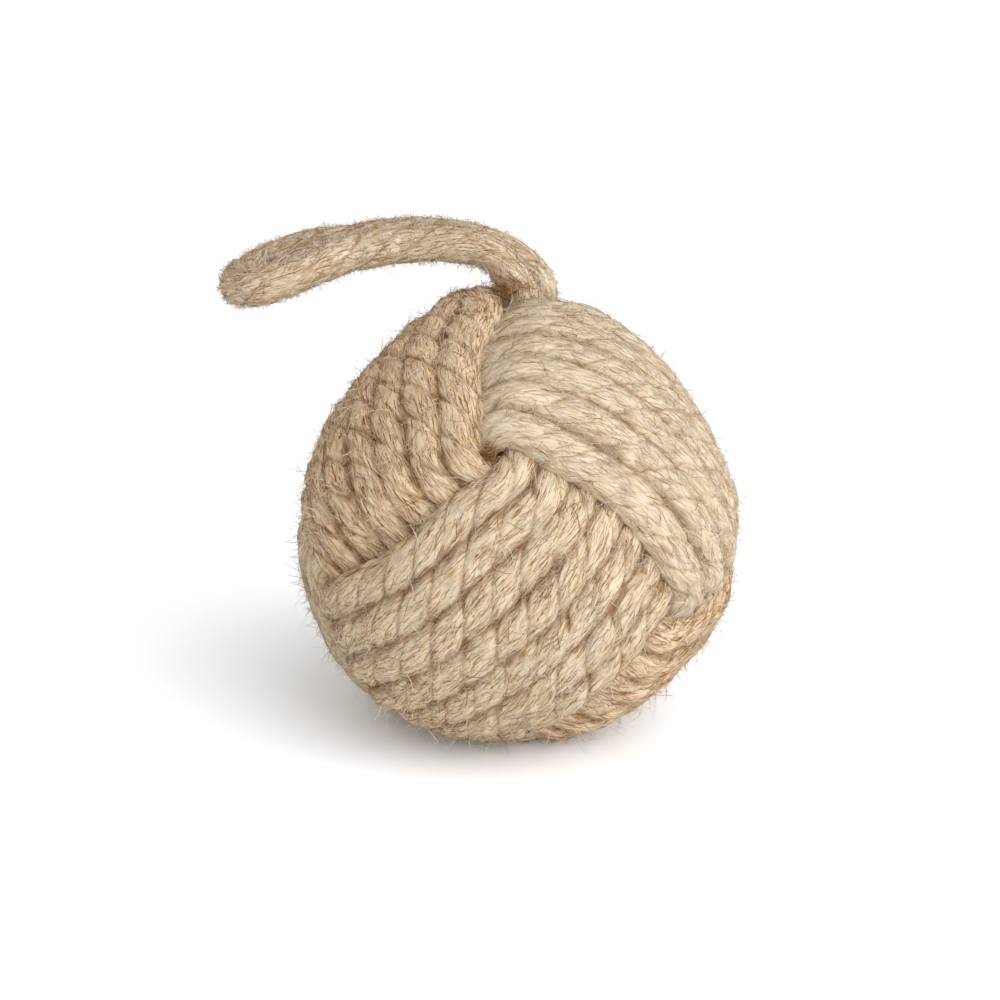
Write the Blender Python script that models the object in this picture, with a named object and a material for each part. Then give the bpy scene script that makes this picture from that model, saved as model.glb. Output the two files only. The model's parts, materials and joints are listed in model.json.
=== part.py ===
"""Rope knot doorstop: a ball of rope knotted round a bag of sand, with a rope loop to lift it by.

Metres, +Z up. The origin is on the floor, at the lowest place of the turn that the ball stands on.
The loop lies over to -X, and +Y points away from whoever looks at the ball from the front.

The knot is made of three passes, each square to the other two. A pass is one length of rope wound
TURNS times round the ball. It shows on two opposite faces of the ball, and on the way from one to
the other it goes down under the next pass, so that every pass covers one and is covered by one.
"""

import math

import bmesh
import bpy
import numpy as np
from mathutils import Matrix, Vector

MM = 0.001
DEG = math.radians(1)

# Rope
ROPE = 11.5 * MM
TURN_GAP = 0.6 * MM
LAYER_GAP = 2.0 * MM
FIT_GAP = 0.3 * MM

# Passes of the knot
TURNS = 7
POINTS_PER_QUARTER = 6
EDGE_ANGLE = 30 * DEG
DIVE_INSET = 1.6 * DEG
CORNER_ANGLE = 45 * DEG
CORNER_SQUEEZE = 0.745
CORNER_SQUEEZE_WIDTH = 14 * DEG
HIDDEN_SQUEEZE = 0.87
BAND_NARROWING = 0.09
NARROWING_ANGLE = 40.4 * DEG
NARROWING_WIDTH = 9.4 * DEG
HIDDEN_SPREAD = 0.115
HIDDEN_SPREAD_ANGLE = 58 * DEG
HIDDEN_SPREAD_WIDTH = 4 * DEG
CHANGE_OVER_HALF = 23 * DEG
END_MARGIN = 6 * DEG
END_SPACING = 5 * DEG
PASS_SIDES = 6
FLAT_SHARE = 0.1

# How the knot lies: the corner with the loop leans back and to the right, and the knot is turned on it
LEAN_BACK = 14.0 * DEG
LEAN_RIGHT = 2.8 * DEG
KNOT_TURN = -172.8 * DEG

# Bag of sand inside the knot
CLOTH = 0.8 * MM
NECK_RADIUS = 8.0 * MM
NECK_BORE = 3.0 * MM
FRILL = 2.0 * MM
SHOULDER_DROP = 2.5 * MM
SAND_DROP = 3.0 * MM
BAG_SIDES = 32
BAG_STEPS = 14
TWINE = 2.0 * MM
TWINE_TURNS = 2
TWINE_PITCH = 2.5 * MM
TWINE_STEPS = 24
TWINE_SIDES = 6

# Loop, as it lies: how far out the two legs' middle is from the pivot, how far up, how far the back leg
# lies above that middle and the front one below it, and how far each has moved from touching the other
HANDLE_ROUTE = (
    (0.0 * MM, 0.0 * MM, 0.0 * MM, 0.0 * MM),
    (-6.6 * MM, 6.7 * MM, 0.3 * MM, 0.0 * MM),
    (-13.4 * MM, 10.8 * MM, 0.9 * MM, 0.0 * MM),
    (-21.8 * MM, 13.0 * MM, 1.4 * MM, 0.0 * MM),
    (-30.2 * MM, 13.8 * MM, 1.6 * MM, 0.1 * MM),
    (-38.6 * MM, 13.8 * MM, 1.7 * MM, 0.4 * MM),
    (-47.0 * MM, 13.1 * MM, 1.9 * MM, 1.3 * MM),
    (-55.4 * MM, 11.7 * MM, 2.3 * MM, 3.2 * MM),
    (-63.7 * MM, 9.6 * MM, 2.8 * MM, 5.9 * MM),
    (-72.0 * MM, 6.9 * MM, 3.7 * MM, 8.8 * MM),
    (-79.8 * MM, 4.0 * MM, 4.6 * MM, 10.7 * MM),
    (-86.4 * MM, 1.6 * MM, 4.9 * MM, 11.0 * MM),
)
HANDLE_END_REACH = 14.4 * MM
HANDLE_END_DROP = 5.9 * MM
HANDLE_END_STEPS = 4
HANDLE_STEP = 6.0 * MM
HANDLE_SIDES = 10
ROUND_END_STEPS = 3

# Plug of squeezed rope where the loop's legs go down between the turns
PLUG_SINK = 2.4 * MM
PLUG_DEPTH = 7.5 * MM
PLUG_RINGS = 6
PLUG_SIDES = 16

# How fine the shapes and the measures on them are
SAME_PLACE = 0.01 * MM
MEASURE_STEP = 1.5 * MM
SHARP_EDGE = 50 * DEG

# What follows from the sizes above
PITCH = ROPE + TURN_GAP
HALF_STEP = EDGE_ANGLE / (TURNS - 1)
OUTER_LINE = PITCH / (2 * math.sin(HALF_STEP))
INNER_LINE = OUTER_LINE - ROPE / 2 - HIDDEN_SQUEEZE * ROPE / 2 - LAYER_GAP
BALL_RADIUS = OUTER_LINE + ROPE / 2

JUTE = (0.571, 0.413, 0.238)
JUTE_SHADE = (0.420, 0.290, 0.155)
CALICO = (0.700, 0.640, 0.520)
TWINE_BROWN = (0.360, 0.245, 0.130)
SAND = (0.520, 0.400, 0.260)


def clear_scene():
    for obj in list(bpy.data.objects):
        bpy.data.objects.remove(obj, do_unlink=True)


def make_material(name, color, roughness):
    material = bpy.data.materials.new(name)
    material.use_nodes = True
    shader = material.node_tree.nodes["Principled BSDF"]
    shader.inputs["Base Color"].default_value = (*color, 1.0)
    shader.inputs["Roughness"].default_value = roughness
    shader.inputs["Metallic"].default_value = 0.0
    return material


def add_object(name, data, material):
    obj = bpy.data.objects.new(name, data)
    bpy.context.scene.collection.objects.link(obj)
    data.materials.append(material)
    return obj


def ease(share):
    share = min(max(share, 0.0), 1.0)
    return share * share * (3 - 2 * share)


def bell(value, middle, width):
    return math.exp(-(((value - middle) / width) ** 2))


# The knot's own axes

def knot_axes():
    """Normals of the three passes: square to each other, with corner (1, -1, 1) under the loop."""
    lean_x = math.sin(LEAN_RIGHT)
    lean_y = math.sin(LEAN_BACK)
    corner = Vector((lean_x, lean_y, math.sqrt(1 - lean_x ** 2 - lean_y ** 2)))
    square_corner = Vector((1, -1, 1)).normalized()
    upright = square_corner.rotation_difference(Vector((0, 0, 1))).to_matrix()
    turned = Matrix.Rotation(KNOT_TURN, 3, "Z")
    leaned = Vector((0, 0, 1)).rotation_difference(corner).to_matrix()
    return leaned @ turned @ upright, corner


# One pass of the knot, in its own axes: its normal, the faces it shows on, the faces it hides on

def across_angle(turn):
    """Angle of a turn from the middle of its band, as seen from the ball's centre."""
    return (turn - (TURNS - 1) / 2) * 2 * HALF_STEP


def dive_limits(across):
    """Angles round the ball at which a turn leaves the outer layer and reaches the inner one.

    It leaves once it has crossed the last turn that it covers, and is down where the first
    turn that covers it crosses.
    """
    share = math.sin(EDGE_ANGLE) / math.cos(across)
    return math.asin(share) + DIVE_INSET, math.acos(share) - DIVE_INSET


def quarter_angles(across):
    """Angles of a quarter turn's points, from the middle of a showing face to a hidden one."""
    start, end = dive_limits(across)
    steps = POINTS_PER_QUARTER // 3
    angles = [start * k / steps for k in range(steps)]
    angles += [start + (end - start) * k / steps for k in range(steps)]
    angles += [end + (math.pi / 2 - end) * k / steps for k in range(steps)]
    return angles


def turn_angles(turn):
    """Angles of one turn, from the middle of a hidden face round to the same place."""
    quarter = quarter_angles(across_angle(turn))
    half = [math.pi / 2] + [math.pi - angle for angle in reversed(quarter)]
    half += [math.pi + angle for angle in quarter[1:]]
    whole = half + [angle + math.pi for angle in half]
    return [angle + turn * 2 * math.pi for angle in whole]


def turn_at(angle):
    """Which turn of the band the rope is on, and between which while it changes over."""
    seam = round((angle - math.pi / 2) / (2 * math.pi))
    past_seam = angle - math.pi / 2 - seam * 2 * math.pi
    share = min(max((past_seam + CHANGE_OVER_HALF) / (2 * CHANGE_OVER_HALF), 0), 1)
    return min(max(seam - 1 + share, 0), TURNS - 1)


def pass_point(angle):
    """Place and thickness of the rope at an angle round the ball."""
    across = across_angle(turn_at(angle))
    folded = angle % math.pi
    folded = min(folded, math.pi - folded)
    start, end = dive_limits(across)
    down = ease((folded - start) / (end - start))
    line = OUTER_LINE + (INNER_LINE - OUTER_LINE) * down
    across *= 1 - BAND_NARROWING * bell(folded, NARROWING_ANGLE, NARROWING_WIDTH)
    across *= 1 + HIDDEN_SPREAD / (1 + math.exp((HIDDEN_SPREAD_ANGLE - folded) / HIDDEN_SPREAD_WIDTH))
    squeezed = 1 - (1 - HIDDEN_SQUEEZE) * down
    at_corner = bell(folded, CORNER_ANGLE, CORNER_SQUEEZE_WIDTH)
    thickness = squeezed + (min(squeezed, CORNER_SQUEEZE) - squeezed) * at_corner
    flat = line * math.cos(across)
    place = (line * math.sin(across), flat * math.cos(angle), flat * math.sin(angle))
    return place, ROPE / 2 * thickness


def pass_line():
    """Points and rope radii along the TURNS turns of a pass, from hidden end to hidden end."""
    margin = CHANGE_OVER_HALF + END_MARGIN
    first = math.pi / 2 + margin
    last = math.pi / 2 + 2 * math.pi * TURNS - margin
    between = [angle for turn in range(TURNS) for angle in turn_angles(turn)]
    angles = [first] + [angle for angle in between if first + END_SPACING < angle < last - END_SPACING] + [last]
    placed = [pass_point(angle) for angle in angles]
    return np.array([place for place, radius in placed]), np.array([radius for place, radius in placed])


def knot_lines(axes):
    """Lines of the three passes about the ball's centre, each covering the next."""
    points, radii = pass_line()
    turned = np.array(axes).T
    orders = ((0, 1, 2), (2, 0, 1), (1, 2, 0))
    return [(points[:, order] @ turned, radii) for order in orders]


# Measures on tubes

def fine_line(points, radii):
    """The same line with a point at every measuring step, the radius there and the length so far."""
    places, widths, run = [], [], []
    travelled = 0.0
    for a, b, ra, rb in zip(points[:-1], points[1:], radii[:-1], radii[1:]):
        length = float(np.linalg.norm(b - a))
        count = max(1, math.ceil(length / MEASURE_STEP))
        for k in range(count):
            share = k / count
            places.append(a + (b - a) * share)
            widths.append(ra + (rb - ra) * share)
            run.append(travelled + length * share)
        travelled += length
    return np.array(places), np.array(widths), np.array(run)


def least_self_gap(points, radii):
    """Least gap between parts of a tube that lie more than three diameters apart along it."""
    places, widths, run = fine_line(points, radii)
    least = math.inf
    for k in range(len(places)):
        far = run > run[k] + 3 * ROPE
        if far.any():
            apart = np.linalg.norm(places[far] - places[k], axis=1) - widths[far] - widths[k]
            least = min(least, float(apart.min()))
    return least


def lowest_place(points, radii):
    """Lowest point of a tube's underside."""
    places, widths, run = fine_line(points, radii)
    k = int((places[:, 2] - widths).argmin())
    return Vector((places[k][0], places[k][1], places[k][2] - widths[k]))


# Solids

def rope_curve(name, points, radii, sides, material):
    """A tube along the points, of the thickness given at each."""
    curve = bpy.data.curves.new(name, "CURVE")
    curve.dimensions = "3D"
    curve.bevel_depth = 1.0
    curve.bevel_resolution = sides // 2 - 2
    curve.use_fill_caps = True
    curve.resolution_u = 1
    curve.render_resolution_u = 0
    spline = curve.splines.new("POLY")
    spline.points.add(len(points) - 1)
    for point, place, radius in zip(spline.points, points, radii):
        point.co = (*place, 1.0)
        point.radius = radius
    return add_object(name, curve, material)


def cut_flat(obj, height):
    """Replace a tube by its mesh, with what lies below the height cut away."""
    material = obj.data.materials[0]
    name = obj.name
    graph = bpy.context.evaluated_depsgraph_get()
    mesh = bpy.data.meshes.new_from_object(obj.evaluated_get(graph))
    bpy.data.objects.remove(obj, do_unlink=True)
    bm = bmesh.new()
    bm.from_mesh(mesh)
    bmesh.ops.remove_doubles(bm, verts=bm.verts, dist=SAME_PLACE)
    everything = bm.verts[:] + bm.edges[:] + bm.faces[:]
    cut = bmesh.ops.bisect_plane(
        bm, geom=everything, dist=SAME_PLACE / 100, plane_co=(0, 0, height), plane_no=(0, 0, -1), clear_outer=True
    )
    rim = [item for item in cut["geom_cut"] if isinstance(item, bmesh.types.BMEdge)]
    if rim:
        bmesh.ops.edgenet_fill(bm, edges=rim)
    bmesh.ops.recalc_face_normals(bm, faces=bm.faces)
    bm.to_mesh(mesh)
    bm.free()
    mesh.name = name
    mesh.materials.clear()
    shaped = add_object(name, mesh, material)
    smooth_round(mesh)
    return shaped


def smooth_round(mesh):
    mesh.shade_smooth()
    mesh.set_sharp_from_angle(angle=SHARP_EDGE)


def turned_solid(name, profile, sides, frame, material):
    """A solid turned from (radius, height) pairs whose two ends lie on the axis."""
    bm = bmesh.new()
    rings = []
    for radius, height in profile:
        if radius == 0:
            rings.append([bm.verts.new(frame @ Vector((0, 0, height)))])
            continue
        ring = []
        for k in range(sides):
            angle = 2 * math.pi * k / sides
            ring.append(bm.verts.new(frame @ Vector((radius * math.cos(angle), radius * math.sin(angle), height))))
        rings.append(ring)
    for lower, upper in zip(rings[:-1], rings[1:]):
        for k in range(sides):
            corners = [lower[k % len(lower)], lower[(k + 1) % len(lower)]]
            corners += [upper[(k + 1) % len(upper)], upper[k % len(upper)]]
            bm.faces.new(list(dict.fromkeys(corners)))
    bmesh.ops.recalc_face_normals(bm, faces=bm.faces)
    mesh = bpy.data.meshes.new(name)
    bm.to_mesh(mesh)
    bm.free()
    obj = add_object(name, mesh, material)
    smooth_round(mesh)
    return obj


def knot_frame(centre, corner):
    """Frame with its origin in the ball's centre and +Z through the corner under the loop."""
    turned = Vector((0, 0, 1)).rotation_difference(corner).to_matrix().to_4x4()
    return Matrix.Translation(centre) @ turned


# Bag of sand

def core_radius(lines):
    """Radius of the hollow that the passes leave, measured on their lines."""
    clear = math.inf
    for points, radii in lines:
        places, widths, run = fine_line(points, radii)
        clear = min(clear, float((np.linalg.norm(places, axis=1) - widths).min()))
    return clear


def arc(radius, first, last, steps):
    """Points of an arc about the origin, angles from the top."""
    angles = [first + (last - first) * k / steps for k in range(steps + 1)]
    return [(radius * math.sin(angle), radius * math.cos(angle)) for angle in angles]


def make_bag(lines, frame, cloth, sand, twine):
    """A cloth bag that fills the hollow of the knot, its neck tied with twine over the sand."""
    bag_radius = core_radius(lines) - FIT_GAP
    neck_top = math.sqrt(bag_radius ** 2 - NECK_RADIUS ** 2)
    waist = NECK_RADIUS - TWINE
    seat = TWINE_TURNS * TWINE_PITCH + TWINE + 2 * FIT_GAP
    seat_foot = neck_top - FRILL - seat
    neck_foot = seat_foot - TWINE / 2
    shoulder = math.acos((neck_foot - SHOULDER_DROP) / bag_radius)
    outside = [(0, -bag_radius)] + arc(bag_radius, math.pi, shoulder, BAG_STEPS)[1:]
    neck = [(NECK_RADIUS, neck_foot), (waist, seat_foot), (waist, seat_foot + seat), (NECK_RADIUS, neck_top)]
    inner = bag_radius - CLOTH
    bore = [(NECK_BORE, neck_top), (NECK_BORE, neck_foot - CLOTH), (NECK_RADIUS, neck_foot - CLOTH)]
    inside = arc(inner, shoulder, math.pi, BAG_STEPS)[:-1] + [(0, -inner)]
    turned_solid("sand_pouch", outside + neck + bore + inside, BAG_SIDES, frame, cloth)

    sand_radius = inner - FIT_GAP
    sand_top = neck_foot - CLOTH - SHOULDER_DROP - SAND_DROP
    sand_edge = math.acos(sand_top / sand_radius)
    heap = [(0, -sand_radius)] + arc(sand_radius, math.pi, sand_edge, BAG_STEPS)[1:]
    turned_solid("sand_fill", heap + [(0, sand_top + SAND_DROP / 2)], BAG_SIDES, frame, sand)

    coil = waist + FIT_GAP + TWINE / 2
    steps = TWINE_STEPS * TWINE_TURNS
    points = []
    for k in range(steps + 1):
        share = k / steps
        angle = 2 * math.pi * TWINE_TURNS * share
        height = seat_foot + seat / 2 + (share - 0.5) * TWINE_PITCH * TWINE_TURNS
        points.append(frame @ Vector((coil * math.cos(angle), coil * math.sin(angle), height)))
    rope_curve("pouch_tie", points, [TWINE / 2] * len(points), TWINE_SIDES, twine)
    print("pouch_tie least gap to itself mm", round((TWINE_PITCH - TWINE) / MM, 3))


# Loop and where it goes into the knot

def smooth_route(points, step):
    """Points at about the step along a smooth curve through the route's points."""
    padded = [2 * points[0] - points[1]] + points + [2 * points[-1] - points[-2]]
    fine = []
    for a, b, c, d in zip(padded, padded[1:], padded[2:], padded[3:]):
        count = max(1, round((c - b).length / step))
        for k in range(count):
            t = k / count
            fine.append(
                0.5 * (2 * b + (c - a) * t + (2 * a - 5 * b + 4 * c - d) * t ** 2 + (3 * b - a - 3 * c + d) * t ** 3)
            )
    fine.append(points[-1])
    return fine


def handle_axes(corner):
    """Direction of the swing axis, and of up in the plane that the loop swings in."""
    swing = Vector((0, corner.z, -corner.y)).normalized()
    up = Vector((0, corner.y, corner.z)).normalized()
    return swing, up


def round_end(end, inner, radius):
    """Places and radii of a rope's rounded end, from its last full section outwards."""
    outwards = (end - inner).normalized()
    steps = [math.pi / 2 * k / (ROUND_END_STEPS + 0.35) for k in range(1, ROUND_END_STEPS + 1)]
    return [(end + outwards * radius * math.sin(angle), radius * math.cos(angle)) for angle in steps]


def make_handle(pivot, corner, jute):
    """One rope that goes out from the pivot, round the end of the loop and back beside itself."""
    swing, up = handle_axes(corner)
    touching = (ROPE + FIT_GAP) / 2
    legs = [(out, rise, lift, touching + apart) for out, rise, lift, apart in HANDLE_ROUTE]
    out, rise, lift, half = legs[-1]
    for k in range(1, HANDLE_END_STEPS):
        angle = math.pi / 2 * k / HANDLE_END_STEPS
        along, across = math.sin(angle), math.cos(angle)
        place = (out - HANDLE_END_REACH * along, rise - HANDLE_END_DROP * along, lift * across, half * across)
        legs.append(place)
    front = [pivot + Vector((x, 0, 0)) + up * (z - higher) - swing * y for x, z, higher, y in legs]
    back = [pivot + Vector((x, 0, 0)) + up * (z + higher) + swing * y for x, z, higher, y in legs]
    tip = pivot + Vector((out - HANDLE_END_REACH, 0, 0)) + up * (rise - HANDLE_END_DROP)
    route = smooth_route(front + [tip] + back[::-1], HANDLE_STEP)
    radius = ROPE / 2
    front_end = round_end(route[0], route[1], radius)
    back_end = round_end(route[-1], route[-2], radius)
    placed = front_end[::-1] + [(place, radius) for place in route] + back_end
    places = [place for place, size in placed]
    sizes = [size for place, size in placed]
    rope_curve("handle_loop", places, sizes, HANDLE_SIDES, jute)
    length = sum((b - a).length for a, b in zip(route[:-1], route[1:]))
    print("handle_loop length mm", round(length / MM, 1))


def make_plug(lines, centre, corner, frame, jute):
    """The legs' squeezed rope fills the pit between the three turns that lock round the corner."""
    fine = [fine_line(points, radii) for points, radii in lines]
    profile = []
    for k in range(PLUG_RINGS + 1):
        height = BALL_RADIUS - PLUG_SINK - PLUG_DEPTH * (1 - k / PLUG_RINGS)
        on_axis = np.array(corner) * height
        clear = min(float((np.linalg.norm(places - on_axis, axis=1) - widths).min()) for places, widths, run in fine)
        if clear > 2 * FIT_GAP:
            profile.append((clear - FIT_GAP, height))
    profile = [(0, profile[0][1])] + profile + [(0, profile[-1][1])]
    turned_solid("handle_root", profile, PLUG_SIDES, frame, jute)


def main():
    clear_scene()
    jute = make_material("jute_rope", JUTE, 0.9)
    shade = make_material("jute_root", JUTE_SHADE, 0.95)
    cloth = make_material("calico", CALICO, 0.9)
    twine = make_material("twine", TWINE_BROWN, 0.9)
    sand = make_material("sand", SAND, 1.0)

    axes, corner = knot_axes()
    lines = knot_lines(axes)
    low = [lowest_place(points, radii) for points, radii in lines]
    floor = min(place.z for place in low) + FLAT_SHARE * ROPE
    centre = Vector((-low[2].x, -low[2].y, -floor))
    print("ball radius mm", round(BALL_RADIUS / MM, 2), "centre mm", [round(value / MM, 2) for value in centre])
    print("lowest of each pass mm", [round((place.z - floor) / MM, 2) for place in low])

    for name, (points, radii) in zip(("first_pass", "second_pass", "third_pass"), lines):
        placed = [Vector(place) + centre for place in points]
        tube = rope_curve(name, placed, radii, PASS_SIDES, jute)
        cut_flat(tube, 0.0)
        print(name, "least gap to itself mm", round(least_self_gap(points, radii) / MM, 3))

    frame = knot_frame(centre, corner)
    make_bag(lines, frame, cloth, sand, twine)
    make_plug(lines, centre, corner, frame, shade)
    swing, up = handle_axes(corner)
    pivot = centre + corner * (BALL_RADIUS - PLUG_SINK + FIT_GAP + ROPE / 2)
    print("pivot m", [round(value, 5) for value in pivot], "swing axis", [round(value, 5) for value in swing])
    make_handle(pivot, corner, jute)


main()
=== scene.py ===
"""Looks of the rope knot doorstop, laid on its solids.

The ball and its loop are one laid jute rope: three strands twisted to the left, each of them a bundle
of fibres that run nearly along the rope. The strands are meshes that follow the same lines as the
solids. Fibres that lie on them, fuzz that stands off them and a few long loose hairs are meshes too.
"""

import json
import math

import bpy
import numpy as np
from mathutils import Matrix, Vector

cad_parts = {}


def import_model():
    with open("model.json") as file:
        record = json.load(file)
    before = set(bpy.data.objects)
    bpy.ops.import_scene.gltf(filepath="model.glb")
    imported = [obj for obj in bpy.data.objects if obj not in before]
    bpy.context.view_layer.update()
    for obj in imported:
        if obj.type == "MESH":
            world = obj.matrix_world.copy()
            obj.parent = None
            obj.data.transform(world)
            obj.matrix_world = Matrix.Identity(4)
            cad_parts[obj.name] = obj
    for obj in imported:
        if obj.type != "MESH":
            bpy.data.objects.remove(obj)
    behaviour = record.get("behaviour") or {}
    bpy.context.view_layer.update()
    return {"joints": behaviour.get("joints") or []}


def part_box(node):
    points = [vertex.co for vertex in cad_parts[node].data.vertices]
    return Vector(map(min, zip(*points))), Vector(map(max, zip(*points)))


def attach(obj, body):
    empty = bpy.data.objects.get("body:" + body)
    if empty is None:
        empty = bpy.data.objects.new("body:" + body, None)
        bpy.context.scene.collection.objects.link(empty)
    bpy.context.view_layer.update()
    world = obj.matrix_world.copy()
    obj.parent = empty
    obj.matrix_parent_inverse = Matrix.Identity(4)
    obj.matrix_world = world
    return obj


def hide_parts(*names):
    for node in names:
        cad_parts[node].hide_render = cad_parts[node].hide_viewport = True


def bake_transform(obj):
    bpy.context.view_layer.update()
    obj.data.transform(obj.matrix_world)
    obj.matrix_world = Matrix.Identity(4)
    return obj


MM = 0.001
DEG = math.radians(1)

# Rope, knot and how it lies, as in the solids
ROPE = 11.5 * MM
TURN_GAP = 0.6 * MM
LAYER_GAP = 2.0 * MM
FIT_GAP = 0.3 * MM
TURNS = 7
EDGE_ANGLE = 30 * DEG
DIVE_INSET = 1.6 * DEG
CORNER_ANGLE = 45 * DEG
CORNER_SQUEEZE_WIDTH = 14 * DEG
HIDDEN_SQUEEZE = 0.87
BAND_NARROWING = 0.09
NARROWING_ANGLE = 40.4 * DEG
NARROWING_WIDTH = 9.4 * DEG
HIDDEN_SPREAD = 0.115
HIDDEN_SPREAD_ANGLE = 58 * DEG
HIDDEN_SPREAD_WIDTH = 4 * DEG
CHANGE_OVER_HALF = 23 * DEG
END_MARGIN = 6 * DEG
LEAN_BACK = 14.0 * DEG
LEAN_RIGHT = 2.8 * DEG
KNOT_TURN = -172.8 * DEG
PLUG_SINK = 2.4 * MM
PITCH = ROPE + TURN_GAP
HALF_STEP = EDGE_ANGLE / (TURNS - 1)
OUTER_LINE = PITCH / (2 * math.sin(HALF_STEP))
INNER_LINE = OUTER_LINE - ROPE / 2 - HIDDEN_SQUEEZE * ROPE / 2 - LAYER_GAP
BALL_RADIUS = OUTER_LINE + ROPE / 2
PASS_NAMES = ("first_pass", "second_pass", "third_pass")

# Soft rope presses together more than the solids do: it keeps more of its size where three passes meet,
# goes down later and less far under the next pass, and the outermost turns of a pass sink a little
CORNER_SQUEEZE = 0.9
SOFT_RISE = 2.6 * MM
DIVE_LATER = 5.0 * DEG
DIVE_ENDS_LATER = 3.0 * DEG
EDGE_SINK = 1.3 * MM

# The knot isn't quite round. Seen from the front, lobes stand out all round it: how many, how high,
# and the direction of the first, counted from the right
LOBES = (
    (1, 1.6 * MM, -78 * DEG),
    (2, 1.2 * MM, 71 * DEG),
    (3, 1.8 * MM, -21 * DEG),
    (4, 0.8 * MM, -9 * DEG),
    (6, 0.8 * MM, -9 * DEG),
)

# Round the loop's root the turns are heaved out of their places: where, as seen from the front from the
# ball's middle to the right, up and towards the camera; by how much; and how far round it that reaches
HEAVED = (
    ((-4.0 * MM, 73.0 * MM, 9.0 * MM), (-7.2 * MM, 3.2 * MM, 0.0), 11.0 * MM),
    ((-16.0 * MM, 74.0 * MM, 4.0 * MM), (0.0, 3.2 * MM, 0.0), 11.0 * MM),
    ((22.0 * MM, 72.0 * MM, 4.0 * MM), (0.0, 3.0 * MM, 0.0), 14.0 * MM),
)

# Strands of the rope
LAY = 40.0 * MM
STRANDS = 3
STRAND_OFFSET = 2.2 * MM
STRAND_DEEP = 3.6 * MM
STRAND_WIDE = 4.5 * MM
STRAND_ROUND = 3.4 * MM
STRAND_SQUARE = 2.4
SIDE_STRETCH = 1.3
RELIEF = 0.1 * MM
FIBRE_TURN = 0.185 / MM
# How far painted shade darkens the fibres that start lowest between turns and strands
LOW_SHADE = 0.3

# How far the grooves between the strands are filled, for the three passes and the loop, from 0 to 1
EVENNESS = (0.1, 0.25, 0.0)
LOOP_EVENNESS = 0.1
RING_SIDES = 18
RING_STEP = 1.6 * MM
HIDDEN_STEP = 4.0 * MM
OUTER_DENSITY = 0.3
SHOWN_ANGLE = 63 * DEG

# How turns that lie side by side press into each other, below a height over their middles
PRESSED_REACH = PITCH / 2 + 0.1 * MM
PRESSED_RISE = 3.4 * MM
PRESSED_SOFT = 1.6 * MM

# Loop, as in the solids: out, rise, lift and apart, and how far the back leg lies outside the front one
HANDLE_ROUTE = (
    (0.0 * MM, 0.0 * MM, 0.0 * MM, 0.0 * MM),
    (-6.6 * MM, 6.7 * MM, 0.3 * MM, 0.0 * MM),
    (-13.4 * MM, 10.8 * MM, 0.9 * MM, 0.0 * MM),
    (-21.8 * MM, 13.0 * MM, 1.4 * MM, 0.0 * MM),
    (-30.2 * MM, 13.8 * MM, 1.6 * MM, 0.1 * MM),
    (-38.6 * MM, 13.8 * MM, 1.7 * MM, 0.4 * MM),
    (-47.0 * MM, 13.1 * MM, 1.9 * MM, 1.3 * MM),
    (-55.4 * MM, 11.7 * MM, 2.3 * MM, 3.2 * MM),
    (-63.7 * MM, 9.6 * MM, 2.8 * MM, 5.9 * MM),
    (-72.0 * MM, 6.9 * MM, 3.7 * MM, 8.8 * MM),
    (-79.8 * MM, 4.0 * MM, 4.6 * MM, 10.7 * MM),
    (-86.4 * MM, 1.6 * MM, 4.9 * MM, 11.0 * MM),
)
HANDLE_END_REACH = 14.4 * MM
HANDLE_END_DROP = 5.9 * MM
HANDLE_END_STEPS = 4
# Feet of the loop, from inside the knot up to the pivot: out, rise, and angle by which the pair of legs
# has turned from lying in depth to standing side by side. Just above the pivot the legs lean out a
# little more than the solids do.
FEET = (
    (0.0 * MM, -20.0 * MM, 35 * DEG),
    (-1.5 * MM, -13.0 * MM, 35 * DEG),
    (-2.5 * MM, -6.0 * MM, 34 * DEG),
)
LEG_TURN = (30 * DEG, 22 * DEG, 12 * DEG, 5 * DEG)
ROOT_SHIFT = (-2.8 * MM, -2.4 * MM, -1.4 * MM, -0.4 * MM)

# Camera: how the photograph looks at the ball
CAMERA_ELEVATION = 17 * DEG
CAMERA_ROLL = 2.8 * DEG
CAMERA_DISTANCE = 0.940
CAMERA_LENS = 100.4
CAMERA_SENSOR = 36.0
PICTURE_SIZE = 1000
BALL_PIXEL = (515.0, 519.5)


# Small helpers

def ease(share):
    share = np.clip(share, 0.0, 1.0)
    return share * share * (3 - 2 * share)


def bell(value, middle, width):
    return np.exp(-(((value - middle) / width) ** 2))


def unit(vectors):
    return vectors / np.linalg.norm(vectors, axis=-1, keepdims=True)


def dots(a, b):
    return (a * b).sum(-1, keepdims=True)


def squarer(around):
    """How far out a strand's surface is, next to a round one: strands pressed together have flat sides."""
    power = STRAND_SQUARE
    return (np.abs(np.cos(around)) ** power + np.abs(np.sin(around)) ** power) ** (-1 / power)


class Wander:
    """A smooth wandering along a length: a few waves around a wavelength, out of step with each other."""

    def __init__(self, rng, wavelength, amount, waves=4):
        self.rates = 2 * math.pi / (wavelength * rng.uniform(0.6, 1.7, waves))
        self.starts = rng.uniform(0, 2 * math.pi, waves)
        self.amount = amount / math.sqrt(waves)

    def at(self, run):
        return self.amount * np.sin(np.multiply.outer(run, self.rates) + self.starts).sum(-1)


def view_axes():
    """Directions to the camera, to its right and up, as the photograph looks at the ball."""
    back = np.array((0, -math.cos(CAMERA_ELEVATION), math.sin(CAMERA_ELEVATION)))
    level = np.array((1.0, 0.0, 0.0))
    upright = np.cross(back, level)
    right = level * math.cos(CAMERA_ROLL) + upright * math.sin(CAMERA_ROLL)
    return back, right, np.cross(back, right)


# The knot's lines

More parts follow.
